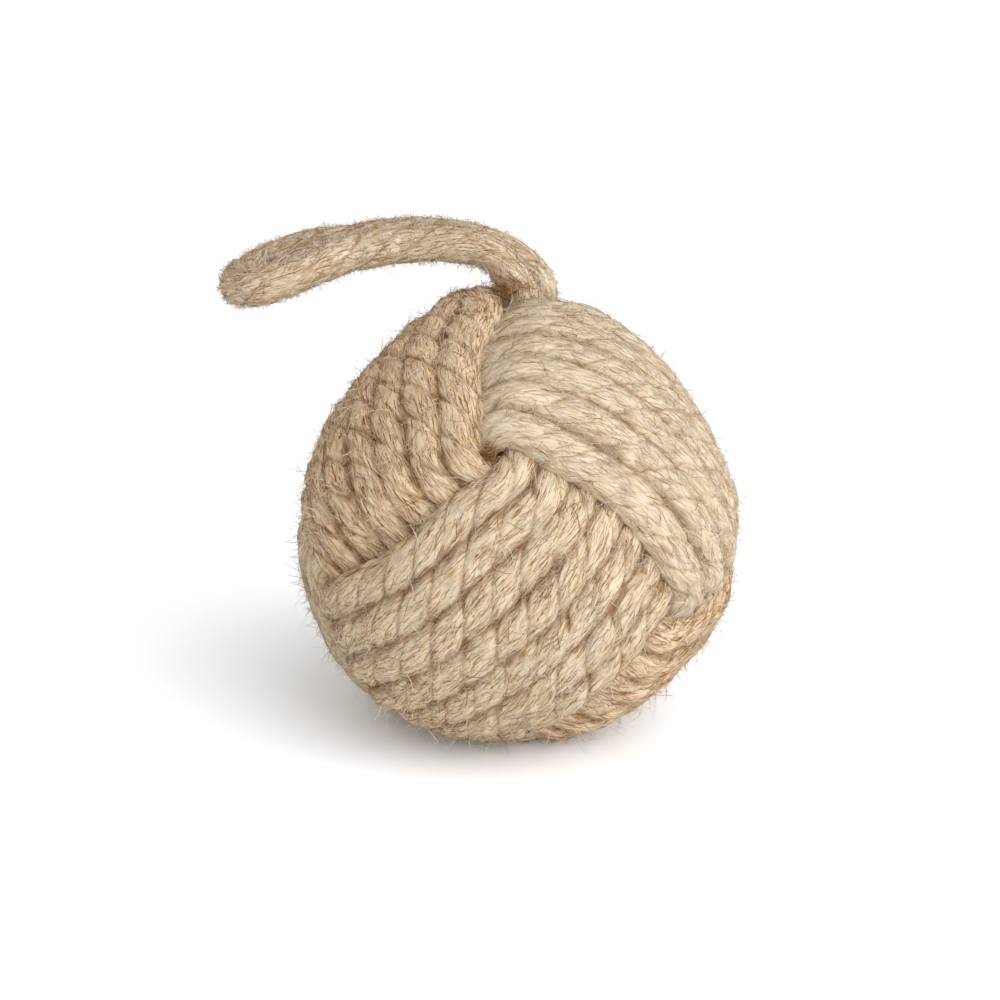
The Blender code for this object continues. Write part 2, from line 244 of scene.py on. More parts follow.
def knot_axes():
    """Normals of the three passes, and the corner under the loop."""
    lean_x = math.sin(LEAN_RIGHT)
    lean_y = math.sin(LEAN_BACK)
    corner = Vector((lean_x, lean_y, math.sqrt(1 - lean_x ** 2 - lean_y ** 2)))
    square_corner = Vector((1, -1, 1)).normalized()
    upright = square_corner.rotation_difference(Vector((0, 0, 1))).to_matrix()
    turned = Matrix.Rotation(KNOT_TURN, 3, "Z")
    leaned = Vector((0, 0, 1)).rotation_difference(corner).to_matrix()
    return np.array(leaned @ turned @ upright), corner


def pass_places(angles):
    """Places round one pass at the given angles, and what the rope is like there.

    That is its thickness, the angle from the nearest showing face, and whether the turn before it and
    the turn after it lie beside it, from 0 to 1.
    """
    seam = np.round((angles - math.pi / 2) / (2 * math.pi))
    past_seam = angles - math.pi / 2 - seam * 2 * math.pi
    share = np.clip((past_seam + CHANGE_OVER_HALF) / (2 * CHANGE_OVER_HALF), 0, 1)
    turn = np.clip(seam - 1 + share, 0, TURNS - 1)
    across = (turn - (TURNS - 1) / 2) * 2 * HALF_STEP
    folded = angles % math.pi
    folded = np.minimum(folded, math.pi - folded)
    dive = math.sin(EDGE_ANGLE) / np.cos(across)
    start = np.arcsin(dive) + DIVE_INSET + DIVE_LATER
    end = np.arccos(dive) - DIVE_INSET + DIVE_ENDS_LATER
    down = ease((folded - start) / (end - start))
    line = OUTER_LINE + (INNER_LINE + SOFT_RISE - OUTER_LINE) * down
    line -= EDGE_SINK * ease(np.abs(turn - (TURNS - 1) / 2) - (TURNS - 3) / 2) * (1 - down)
    across *= 1 - BAND_NARROWING * bell(folded, NARROWING_ANGLE, NARROWING_WIDTH)
    across *= 1 + HIDDEN_SPREAD / (1 + np.exp((HIDDEN_SPREAD_ANGLE - folded) / HIDDEN_SPREAD_WIDTH))
    squeezed = 1 - (1 - HIDDEN_SQUEEZE) * down
    at_corner = bell(folded, CORNER_ANGLE, CORNER_SQUEEZE_WIDTH)
    thickness = squeezed + (np.minimum(squeezed, CORNER_SQUEEZE) - squeezed) * at_corner
    flat = line * np.cos(across)
    places = np.stack((line * np.sin(across), flat * np.cos(angles), flat * np.sin(angles)), -1)
    beside = ease((turn - 0.6) / 0.4), ease((TURNS - 1.6 - turn) / 0.4)
    return places, thickness, folded, beside


def out_of_round(places):
    """Places about the ball's middle, moved by the lobes that show around it and heaved round the loop's root."""
    back, right, up = view_axes()
    outward = unit(places)
    across, rise, depth = outward @ right, outward @ up, outward @ back
    angle = np.arctan2(rise, across)
    bulge = sum(height * np.cos(count * (angle - first)) for count, height, first in LOBES)
    moved = places + outward * (bulge * (1 - depth ** 2))[:, None]
    seen = np.stack((right, up, back))
    for place, shift, reach in HEAVED:
        away = np.linalg.norm(places - np.array(place) @ seen, axis=1)
        moved += bell(away, 0.0, reach)[:, None] * (np.array(shift) @ seen)
    return moved


# Rope and strands

class Rope:
    """A rope's middle line, and all that is needed to lay strands and fibres along it."""

    def __init__(self, places, outward, sizes, shown, rng, evenness, beside=None):
        self.run = np.concatenate(([0.0], np.cumsum(np.linalg.norm(np.diff(places, axis=0), axis=1))))
        self.places = places
        self.along = unit(np.gradient(places, self.run, axis=0))
        self.outward = unit(outward - self.along * dots(outward, self.along))
        self.side = np.cross(self.along, self.outward)
        self.sizes = sizes
        self.shown = shown
        self.beside = beside
        self.evenness = evenness
        self.length = self.run[-1]
        self.turn_start = rng.uniform(0, 2 * math.pi)
        self.turn_wander = Wander(rng, 90 * MM, 0.16)
        self.side_wander = Wander(rng, 70 * MM, 0.35 * MM)
        self.rise_wander = Wander(rng, 60 * MM, 0.3 * MM)
        self.fat = [Wander(rng, 24 * MM, 0.055) for _ in range(STRANDS)]
        waves = 12
        self.relief_across = 2 * math.pi / rng.uniform(1.7 * MM, 4.2 * MM, (STRANDS, waves))
        self.relief_along = rng.choice((-1, 1), (STRANDS, waves)) * 2 * math.pi / rng.uniform(
            18 * MM, 60 * MM, (STRANDS, waves)
        )
        self.relief_start = rng.uniform(0, 2 * math.pi, (STRANDS, waves))

    def table_at(self, table, run):
        return np.stack([np.interp(run, self.run, table[:, k]) for k in range(3)], -1)

    def middle(self, run):
        """Middle of the rope and its outward and sideways directions."""
        outward = self.table_at(self.outward, run)
        side = self.table_at(self.side, run)
        place = self.table_at(self.places, run)
        sway = self.side_wander.at(run)[..., None] * side + self.rise_wander.at(run)[..., None] * outward
        return place + sway, outward, side

    def relief(self, strand, run, around):
        """Height of the bundles of fibres on a strand's surface."""
        flow = around * STRAND_ROUND - FIBRE_TURN * STRAND_ROUND * run
        waves = np.multiply.outer(flow, self.relief_across[strand])
        waves += np.multiply.outer(run, self.relief_along[strand]) + self.relief_start[strand]
        return RELIEF * np.sin(waves).sum(-1) / math.sqrt(waves.shape[-1])

    def surface(self, strand, run, around, lift=0.0):
        """Places on a strand: run along the rope, angle around the strand from its outermost line.

        Also gives how far up and how far from the rope's middle each place is, in its radii there, and
        from 0 to 1 whether another turn lies against it.
        """
        place, outward, side = self.middle(run)
        size = np.interp(run, self.run, self.sizes)
        turn = self.turn_start + strand * 2 * math.pi / STRANDS - 2 * math.pi * run / LAY
        turn = turn + self.turn_wander.at(run)
        fat = size * (1 + self.fat[strand].at(run))
        off = lift + self.relief(strand, run, around)
        flat = squarer(around)
        deep = (STRAND_DEEP * fat * flat + off) * np.cos(around) + STRAND_OFFSET * size
        wide = (STRAND_WIDE * fat * flat + off) * np.sin(around)
        up = deep * np.cos(turn) - wide * np.sin(turn)
        across = deep * np.sin(turn) + wide * np.cos(turn)
        out = np.hypot(up, across)
        evened = 1 + self.evenness * (size * ROPE / 2 / np.maximum(out, 2 * MM) - 1)
        up, across = up * evened, across * evened
        packed = np.zeros_like(up)
        if self.beside:
            across = across * SIDE_STRETCH
            before, after = (np.interp(run, self.run, share) for share in self.beside)
            packed = np.where(across > 0, before, after) * ease(np.abs(across) / PRESSED_REACH / 0.3 - 1.5)
            short = np.maximum(PRESSED_REACH - np.abs(across), 0) * packed
            across = across + np.sign(across) * short * ease((PRESSED_RISE - up) / PRESSED_SOFT)
        spot = place + outward * up[..., None] + side * across[..., None]
        radius = size * ROPE / 2
        return spot, up / radius, out / radius, packed

    def flow(self, run, around):
        """Coordinate that stays the same along a fibre, in metres across the fibres."""
        return (around - FIBRE_TURN * run) * STRAND_ROUND


def make_pass(number, axes, centre, rng):
    """Rope of one pass, from where it is laid in to its other end."""
    margin = CHANGE_OVER_HALF + END_MARGIN
    first = math.pi / 2 + margin
    last = math.pi / 2 + 2 * math.pi * TURNS - margin
    angles = np.linspace(first, last, int((last - first) / (0.5 * DEG)))
    places, sizes, folded, beside = pass_places(angles)
    order = ((0, 1, 2), (2, 0, 1), (1, 2, 0))[number]
    outward = out_of_round(places[:, order] @ axes.T)
    return Rope(outward + np.array(centre), outward, sizes, folded < SHOWN_ANGLE, rng, EVENNESS[number], beside)


def ring_runs(rope, shown_step, hidden_step):
    """Places along a rope for its rings: close together where it shows."""
    runs = [0.0]
    while runs[-1] < rope.length:
        shown = rope.shown[min(np.searchsorted(rope.run, runs[-1]), len(rope.shown) - 1)]
        runs.append(runs[-1] + (shown_step if shown else hidden_step))
    runs[-1] = rope.length
    return np.array(runs)


def ring_angles(sides):
    """Angles around a strand, closer together on its outer side."""
    even = -math.pi + 2 * math.pi * np.arange(sides) / sides
    return even - OUTER_DENSITY * np.sin(even)


def mesh_object(name, places, faces, material):
    mesh = bpy.data.meshes.new(name)
    mesh.from_pydata(places.tolist(), [], faces)
    mesh.shade_smooth()
    mesh.materials.append(material)
    obj = bpy.data.objects.new(name, mesh)
    bpy.context.scene.collection.objects.link(obj)
    return obj


def add_values(obj, name, values):
    attribute = obj.data.attributes.new(name, "FLOAT", "POINT")
    attribute.data.foreach_set("value", values.astype(np.float32))


def add_uv(obj, coordinates):
    """UV map from one coordinate pair for each point."""
    layer = obj.data.uv_layers.new(name="UVMap")
    corners = np.zeros(len(obj.data.loops), np.int32)
    obj.data.loops.foreach_get("vertex_index", corners)
    layer.data.foreach_set("uv", coordinates[corners].astype(np.float32).ravel())


def strand_mesh(name, rope, runs, sides, material):
    """The rope's three strands as closed tubes in one mesh, standing on the floor where they reach it."""
    angles = ring_angles(sides)
    run, around = np.meshgrid(runs, angles, indexing="ij")
    places, coordinates, crease_shades, faces = [], [], [], []
    for strand in range(STRANDS):
        spots, up, out, packed = rope.surface(strand, run, around)
        base = strand * len(runs) * sides
        k = base + np.arange((len(runs) - 1) * sides)
        after = base + (k - base) // sides * sides + (k - base + 1) % sides
        faces += np.stack((k, after, after + sides, k + sides), -1).tolist()
        faces.append([base + j for j in reversed(range(sides))])
        faces.append([base + (len(runs) - 1) * sides + j for j in range(sides)])
        places.append(spots.reshape(-1, 3))
        coordinates.append(np.stack((run + 4 * strand, rope.flow(run, around) + strand), -1).reshape(-1, 2))
        # Painted shade: darker in the creases between the strands and low between turns pressed together
        crease = 1 - ease((out - 0.908) / 0.055)
        between = packed * (1 - ease((up - 0.66) / 0.16))
        crease_shades.append(np.minimum(np.maximum(between, crease) * 0.75 + between * crease * 0.5, 1).ravel())
    places = np.concatenate(places)
    places[:, 2] = np.maximum(places[:, 2], 0)
    obj = mesh_object(name, places, faces, material)
    add_uv(obj, np.concatenate(coordinates))
    add_values(obj, "crease_shade", np.concatenate(crease_shades))
    return obj


# Fibres

def hair_mesh(name, lines, radii, tones, material):
    """Fine fibres of three sides with pointed ends, one for each line of points, as one mesh."""
    count, points = lines.shape[:2]
    along = unit(np.gradient(lines, axis=1))
    other = np.zeros_like(along)
    other[..., 0] = along[..., 1]
    other[..., 1] = -along[..., 2]
    other[..., 2] = along[..., 0]
    side = unit(np.cross(along, other))
    third = np.cross(along, side)
    swell = np.sin(math.pi * np.arange(1, points - 1) / (points - 1)) ** 0.5
    width = radii[:, None] * swell
    rings = []
    for k in range(3):
        angle = 2 * math.pi * k / 3
        turned = side[:, 1:-1] * math.cos(angle) + third[:, 1:-1] * math.sin(angle)
        rings.append(lines[:, 1:-1] + turned * width[..., None])
    rings = np.stack(rings, 2).reshape(count, -1, 3)
    places = np.concatenate((rings, lines[:, :1], lines[:, -1:]), 1)
    size = places.shape[1]
    faces = []
    for k in range(3):
        after = (k + 1) % 3
        for ring in range(points - 3):
            low, high = 3 * ring, 3 * ring + 3
            faces += [(low + k, low + after, high + after), (low + k, high + after, high + k)]
        faces += [(size - 2, after, k), (size - 5 + k, size - 5 + after, size - 1)]
    template = np.array(faces)
    every = (np.arange(count)[:, None, None] * size + template).reshape(-1, 3)
    flat = places.reshape(-1, 3)
    flat[:, 2] = np.maximum(flat[:, 2], 0.00005)
    obj = mesh_object(name, flat, every.tolist(), material)
    add_values(obj, "tone", np.repeat(tones, size))
    return obj


def shown_spots(rope, count, rng, chosen):
    """Random strands, runs and angles of places on a rope that show and that the given test keeps."""
    picked = []
    found = 0
    while found < count:
        strand = rng.integers(0, STRANDS, count)
        run = rng.uniform(0, rope.length, count)
        around = rng.uniform(-2.2, 2.2, count)
        shown = rope.shown[np.clip(np.searchsorted(rope.run, run), 0, len(rope.shown) - 1)]
        for k in range(STRANDS):
            mine = (strand == k) & shown
            spots, up, out, packed = rope.surface(k, run[mine], around[mine])
            good = chosen(up, out, packed)
            picked.append(np.stack((np.full(good.sum(), k), run[mine][good], around[mine][good]), -1))
            found += good.sum()
    picked = rng.permutation(np.concatenate(picked))[:count]
    return picked[picked[:, 0].argsort(kind="stable")]


def shaded_low(tones, up, out):
    """Tones of fibres darkened with painted shade, the more the lower they start between the turns and the strands."""
    low = np.maximum(1 - ease((up - 0.65) / 0.18), 1 - ease((out - 0.91) / 0.055))
    return np.clip(tones * (1 - LOW_SHADE * low), 0, 1)


def lying_fibres(name, rope, count, rng, material, chosen, dark_share=0.33):
    """Fibres that lie on the strands, nearly along the rope, and sink into them at their ends."""
    points = 4
    spots = shown_spots(rope, count, rng, chosen)
    length = rng.uniform(4 * MM, 10 * MM, count)
    wild = rng.random(count) < 0.2
    slant = np.where(wild, rng.normal(0, 0.45, count), rng.normal(0, 0.14, count))
    bend = rng.normal(0, 0.07, count)
    rise = np.where(wild, rng.uniform(0.15 * MM, 0.6 * MM, count), rng.uniform(0.05 * MM, 0.25 * MM, count))
    share = np.linspace(-1, 1, points)
    step = share * length[:, None] / 2
    run = np.clip(spots[:, 1, None] + step * np.cos(slant)[:, None], 0.0, rope.length)
    swing = step * np.sin(slant)[:, None] + bend[:, None] * length[:, None] * (share ** 2 - 0.3)
    around = spots[:, 2, None] + FIBRE_TURN * (run - spots[:, 1, None]) + swing / STRAND_ROUND
    lift = rise[:, None] * (1 - share ** 2) - 0.08 * MM * share ** 2
    lines = np.zeros((count, points, 3))
    ups, outs = np.zeros((count, points)), np.zeros((count, points))
    for k in range(STRANDS):
        mine = spots[:, 0] == k
        lines[mine], ups[mine], outs[mine], packed = rope.surface(k, run[mine], around[mine], lift[mine])
    radii = rng.uniform(0.05 * MM, 0.13 * MM, count)
    light = rng.normal(0.63, 0.13, count)
    dark = rng.uniform(0.0, 0.3, count)
    tones = np.where(rng.random(count) < dark_share, dark, light)
    heights = ups[:, 1:3].mean(1) if rope.beside else np.ones(count)
    # Painted shade on fibres that lie low between the turns and strands
    tones = shaded_low(tones, heights, outs[:, 1:3].mean(1))
    return hair_mesh(name, lines, radii, tones, material)


class Hairs:
    """A kind of loose hair: points, lengths, radii, angle off the surface, curl and tone. Some are brown."""

    def __init__(self, points, length, radius, steep, curl, tone, spread):
        self.points = points
        self.length = length
        self.radius = radius
        self.steep = steep
        self.curl = curl
        self.tone = tone
        self.spread = spread

    def grow(self, name, ropes, counts, rng, material, chosen):
        """Curly hairs that start on the ropes where the test keeps them."""
        starts, outs, sides, heights = [], [], [], []
        for rope, count in zip(ropes, counts):
            spots = shown_spots(rope, count, rng, chosen)
            for k in range(STRANDS):
                mine = spots[:, 0] == k
                run, around = spots[mine, 1], spots[mine, 2]
                root, up, out, packed = rope.surface(k, run, around, -0.1 * MM)
                heights.append(np.stack((up if rope.beside else np.ones_like(up), out)))
                starts.append(root)
                outs.append(rope.surface(k, run, around, 0.9 * MM)[0] - root)
                sides.append(rope.table_at(rope.along, run))
        place = np.concatenate(starts)
        out = unit(np.concatenate(outs) + 1e-9)
        side = np.concatenate(sides)
        count = len(place)
        length = self.length[0] + (self.length[1] - self.length[0]) * rng.random(count) ** 1.7
        angle = rng.uniform(0, 2 * math.pi, count)[:, None]
        third = unit(np.cross(out, side))
        level = unit(side - out * dots(side, out)) * np.cos(angle) + third * np.sin(angle)
        steep = rng.uniform(*self.steep, count)[:, None]
        heading = unit(level * np.cos(steep) + out * np.sin(steep))
        curl = rng.normal(0, self.curl, (count, 3))
        lines = np.zeros((count, self.points, 3))
        for k in range(self.points):
            lines[:, k] = place
            shake = rng.normal(0, 0.12, (count, 3))
            heading = unit(heading + np.cross(curl, heading) + shake - 0.05 * out)
            place = place + heading * (length / (self.points - 1))[:, None]
        radii = rng.uniform(*self.radius, count)
        tones = rng.normal(self.tone, self.spread, count)
        tones = np.where(rng.random(count) < 0.15, rng.normal(0.25, 0.1, count), tones)
        # Painted shade on hairs that start low between the turns and strands
        tones = shaded_low(tones, *np.concatenate(heights, 1))
        return hair_mesh(name, lines, radii, tones, material)


# Loop

def smooth_route(points, step):
    """Points at about the step along a smooth curve through the route's points, and their shares of it."""
    padded = [2 * points[0] - points[1]] + points + [2 * points[-1] - points[-2]]
    fine = []
    for a, b, c, d in zip(padded, padded[1:], padded[2:], padded[3:]):
        count = max(1, round((c - b).length / step))
        for k in range(count):
            t = k / count
            fine.append(
                0.5 * (2 * b + (c - a) * t + (2 * a - 5 * b + 4 * c - d) * t ** 2 + (3 * b - a - 3 * c + d) * t ** 3)
            )
    fine.append(points[-1])
    return fine


def handle_axes(corner):
    swing = Vector((0, corner.z, -corner.y)).normalized()
    up = Vector((0, corner.y, corner.z)).normalized()
    return swing, up


def loop_line(pivot, corner):
    """Middle line of the loop's rope, from foot to foot."""
    swing, up = handle_axes(corner)
    touching = (ROPE + FIT_GAP) / 2
    legs = []
    for out, rise, turn in FEET:
        legs.append((out, rise, touching * 0.9, turn))
    for k, (out, rise, lift, apart) in enumerate(HANDLE_ROUTE):
        lean = math.atan2(lift, touching + apart)
        turn = max(lean, LEG_TURN[k]) if k < len(LEG_TURN) else lean
        shift = ROOT_SHIFT[k] if k < len(ROOT_SHIFT) else 0.0
        legs.append((out + shift, rise, math.hypot(lift, touching + apart), turn))
    out, rise, half, turn = legs[-1]
    for k in range(1, HANDLE_END_STEPS):
        angle = math.pi / 2 * k / HANDLE_END_STEPS
        along, across = math.sin(angle), math.cos(angle)
        legs.append((out - HANDLE_END_REACH * along, rise - HANDLE_END_DROP * along, half * across, turn))
    sides = []
    middles = [pivot + Vector((x, 0, 0)) + up * z for x, z, half, angle in legs]
    for k, (x, z, half, angle) in enumerate(legs):
        before, after = middles[max(k - 1, 0)], middles[min(k + 1, len(middles) - 1)]
        outer = swing.cross(after - before).normalized()
        sides.append((swing * math.cos(angle) + outer * math.sin(angle)) * half)
    front = [middle - side for middle, side in zip(middles, sides)]
    back = [middle + side for middle, side in zip(middles, sides)]
    tip = pivot + Vector((out - HANDLE_END_REACH, 0, 0)) + up * (rise - HANDLE_END_DROP)
    return smooth_route(front + [tip] + back[::-1], 1.0 * MM)


def level_outward(places):
    """Directions square to a line that turn no more than the line does."""
    along = unit(np.gradient(places, axis=0))
    outward = np.zeros_like(places)
    now = np.array((1.0, 0.0, 0.0))
    for k, direction in enumerate(along):
        now = now - direction * (now @ direction)
        now = now / np.linalg.norm(now)
        outward[k] = now
    return outward


# Bag of sand inside the knot, modelled upright about the ball's middle and then leaned over

BAG_FOLDS = 20
BAG_WAIST = 6.0 * MM
BAG_FRILL = 7.4 * MM
BAG_NECK = 9.0 * MM
CLOTH = 0.8 * MM
TWINE = 2.0 * MM
TWINE_TURNS = 2
TWINE_PITCH = 2.5 * MM


def only(obj):
    """Select one object alone and make it the active one."""
    bpy.ops.object.select_all(action="DESELECT")
    obj.select_set(True)
    bpy.context.view_layer.objects.active = obj


def lay_in_knot(obj, place, material):
    """Move the finished shape into its place in the knot, so that the object itself stays at the origin."""
    obj.data.transform(place)
    obj.data.update()
    obj.data.materials.clear()
    obj.data.materials.append(material)


def make_bag(radius, place, material):
    """Calico bag: a round body, gathered in folds below its tied neck, with a frill over the tie."""
    bpy.ops.object.select_all(action="DESELECT")
    bpy.ops.mesh.primitive_uv_sphere_add(segments=4 * BAG_FOLDS, ring_count=48, radius=radius - CLOTH)
    bag = bpy.context.object
    bag.name = "calico_bag"
    neck = radius - BAG_NECK
    bpy.ops.object.mode_set(mode="EDIT")
    bpy.ops.mesh.select_all(action="SELECT")
    bpy.ops.mesh.bisect(plane_co=(0, 0, neck), plane_no=(0, 0, 1), clear_outer=True)
    rim = radius * math.sin(math.acos(neck / radius))
    steps = ((BAG_WAIST, 2.2 * MM), (BAG_WAIST, 4.2 * MM), (BAG_FRILL, 1.8 * MM))
    for wide, rise in steps:
        bpy.ops.mesh.extrude_region_move(TRANSFORM_OT_translate={"value": (0, 0, rise)})
        share = wide / rim
        bpy.ops.transform.resize(value=(share, share, 1))
        rim = wide
    bpy.ops.mesh.select_all(action="DESELECT")
    bpy.ops.object.mode_set(mode="OBJECT")
    for vertex in bag.data.vertices:
        x, y, z = vertex.co
        gathered = ease((z / radius - 0.35) / 0.5)
        fold = 0.5 - 0.5 * math.cos(BAG_FOLDS * math.atan2(y, x))
        draw_in = 1 - 0.09 * float(gathered) * fold
        vertex.co = (x * draw_in, y * draw_in, z)
    wall = bag.modifiers.new("wall", "SOLIDIFY")
    wall.thickness = CLOTH
    wall.offset = -1.0
    only(bag)
    bpy.ops.object.modifier_apply(modifier=wall.name)
    bpy.ops.object.shade_smooth()
    lay_in_knot(bag, place, material)
    return bag


def make_sand(radius, place, material):
    """Heap of sand: a ball cut off level, its surface uneven by a grain or two."""
    bpy.ops.object.select_all(action="DESELECT")
    bpy.ops.mesh.primitive_ico_sphere_add(subdivisions=5, radius=radius)
    heap = bpy.context.object
    heap.name = "loose_sand"
    bpy.ops.object.mode_set(mode="EDIT")
    bpy.ops.mesh.select_all(action="SELECT")
    bpy.ops.mesh.bisect(plane_co=(0, 0, radius * 0.66), plane_no=(0, 0, 1), clear_outer=True, use_fill=True)
    bpy.ops.mesh.select_all(action="SELECT")
    bpy.ops.mesh.vertices_smooth(factor=0.5, repeat=2)
    bpy.ops.object.mode_set(mode="OBJECT")
    grains = bpy.data.textures.new("grains", "CLOUDS")
    grains.noise_scale = 1.6 * MM
    uneven = heap.modifiers.new("uneven", "DISPLACE")
    uneven.texture = grains
    uneven.strength = 0.4 * MM
    uneven.mid_level = 1.0
    only(heap)
    bpy.ops.object.modifier_apply(modifier=uneven.name)
    bpy.ops.object.shade_smooth()
    lay_in_knot(heap, place, material)
    return heap


def make_twine(radius, place, material):
    """Two-ply twine, two turns round the bag's neck."""
    middle = radius - BAG_NECK + 4.3 * MM
    coil = BAG_WAIST + TWINE / 2
    curve = bpy.data.curves.new("twine", "CURVE")
    curve.dimensions = "3D"
    curve.bevel_depth = TWINE / 4
    curve.bevel_resolution = 1
    curve.use_fill_caps = True
    steps = 180
    for ply in range(2):
        spline = curve.splines.new("POLY")
        spline.points.add(steps)
        for k in range(steps + 1):
            share = k / steps
            angle = 2 * math.pi * TWINE_TURNS * share
            twist = angle * 9 + math.pi * ply
            out = coil + TWINE / 4 * math.cos(twist)
            rise = middle + (share - 0.5) * TWINE_PITCH * TWINE_TURNS + TWINE / 4 * math.sin(twist)
            spline.points[k].co = (out * math.cos(angle), out * math.sin(angle), rise, 1.0)
    twine = bpy.data.objects.new("neck_twine", curve)
    bpy.context.scene.collection.objects.link(twine)
    only(twine)
    bpy.ops.object.convert(target="MESH")
    twine = bpy.context.object
    bpy.ops.object.shade_smooth()
    lay_in_knot(twine, place, material)
    return twine


def make_filling(centre, corner):
    """The bag, its tie and the sand in it, all inside the knot."""
    low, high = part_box("sand_pouch")
    radius = (high[0] - low[0]) / 2
    leaned = Vector((0, 0, 1)).rotation_difference(corner).to_matrix().to_4x4()
    place = Matrix.Translation(centre) @ leaned
    bag = make_bag(radius, place, calico_material())
    sand = make_sand(radius - CLOTH - FIT_GAP, place, sand_material())
    twine = make_twine(radius, place, twine_material())
    for piece, node, slot in ((bag, "sand_pouch", "calico"), (sand, "sand_fill", "sand"), (twine, "pouch_tie", "twine")):
        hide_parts(node)
        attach(piece, "root")


# Materials

class Shades:
    """A material's nodes, added one after another."""

    def __init__(self, name):
        self.material = bpy.data.materials.new(name)
        self.material.use_nodes = True
        self.tree = self.material.node_tree
        self.shader = self.tree.nodes["Principled BSDF"]

    def add(self, kind, links=(), **settings):
        node = self.tree.nodes.new(kind)
        for key, value in settings.items():
            setattr(node, key, value)
        for socket, source in links:
            if isinstance(source, bpy.types.NodeSocket):
                self.tree.links.new(source, node.inputs[socket])
            else:
                node.inputs[socket].default_value = source
        return node

    def stretched(self, source, scale):
        return self.add("ShaderNodeMapping", [("Vector", source), ("Scale", scale)]).outputs["Vector"]

    def turned(self, source, angle):
        return self.add("ShaderNodeMapping", [("Vector", source), ("Rotation", (0, 0, angle * DEG))]).outputs["Vector"]

    def noise(self, source, scale, detail=2.0, rough=0.5, distortion=0.0):
        links = [("Vector", source), ("Scale", scale), ("Detail", detail), ("Roughness", rough)]
        return self.add("ShaderNodeTexNoise", links + [("Distortion", distortion)]).outputs["Fac"]

    def ramp(self, source, stops):
        node = self.add("ShaderNodeValToRGB", [("Fac", source)])
        elements = node.color_ramp.elements
        while len(elements) < len(stops):
            elements.new(0.5)
        for element, (place, color) in zip(elements, stops):
            element.position = place
            element.color = (*color, 1.0)
        return node.outputs["Color"]

    def between(self, source, low, high):
        links = [("Value", source), ("From Min", low), ("From Max", high)]
        return self.add("ShaderNodeMapRange", links, clamp=True).outputs["Result"]

    def math(self, operation, a, b):
        return self.add("ShaderNodeMath", [(0, a), (1, b)], operation=operation).outputs["Value"]

    def total(self, *parts):
        """Sum of values, each times its weight."""
        result = self.math("MULTIPLY", *parts[0])
        for value, weight in parts[1:]:
            result = self.math("ADD", result, self.math("MULTIPLY", value, weight))
        return result

    def mix(self, share, first, second, blend="MIX"):
        node = self.add("ShaderNodeMix", data_type="RGBA", blend_type=blend)
        for socket, source in ((node.inputs["Factor"], share), (node.inputs[6], first), (node.inputs[7], second)):
            if isinstance(source, bpy.types.NodeSocket):
                self.tree.links.new(source, socket)
            else:
                socket.default_value = source
        return node.outputs[2]

    def finish(self, color, roughness, specular, normal=None):
        if isinstance(color, bpy.types.NodeSocket):
            self.tree.links.new(color, self.shader.inputs["Base Color"])
        else:
            self.shader.inputs["Base Color"].default_value = color
        self.shader.inputs["Roughness"].default_value = roughness
        self.shader.inputs["Specular IOR Level"].default_value = specular
        if normal is not None:
            self.tree.links.new(normal, self.shader.inputs["Normal"])
        return self.material


BROWN = (0.195, 0.085, 0.028)
RUST = (0.430, 0.215, 0.080)
TAN = (0.545, 0.385, 0.207)
STRAW = (0.682, 0.580, 0.435)
PALE = (0.690, 0.633, 0.549)
BLEACHED = (0.840, 0.810, 0.750)
PINKISH = (1.0, 0.960, 0.940)
YELLOWISH = (0.990, 0.995, 0.920)
# Painted shade in the creases and between the turns, rust and a darker brown
CREASE_SHADE_RUST = (0.285, 0.155, 0.072)
CREASE_SHADE_BROWN = (0.140, 0.058, 0.020)


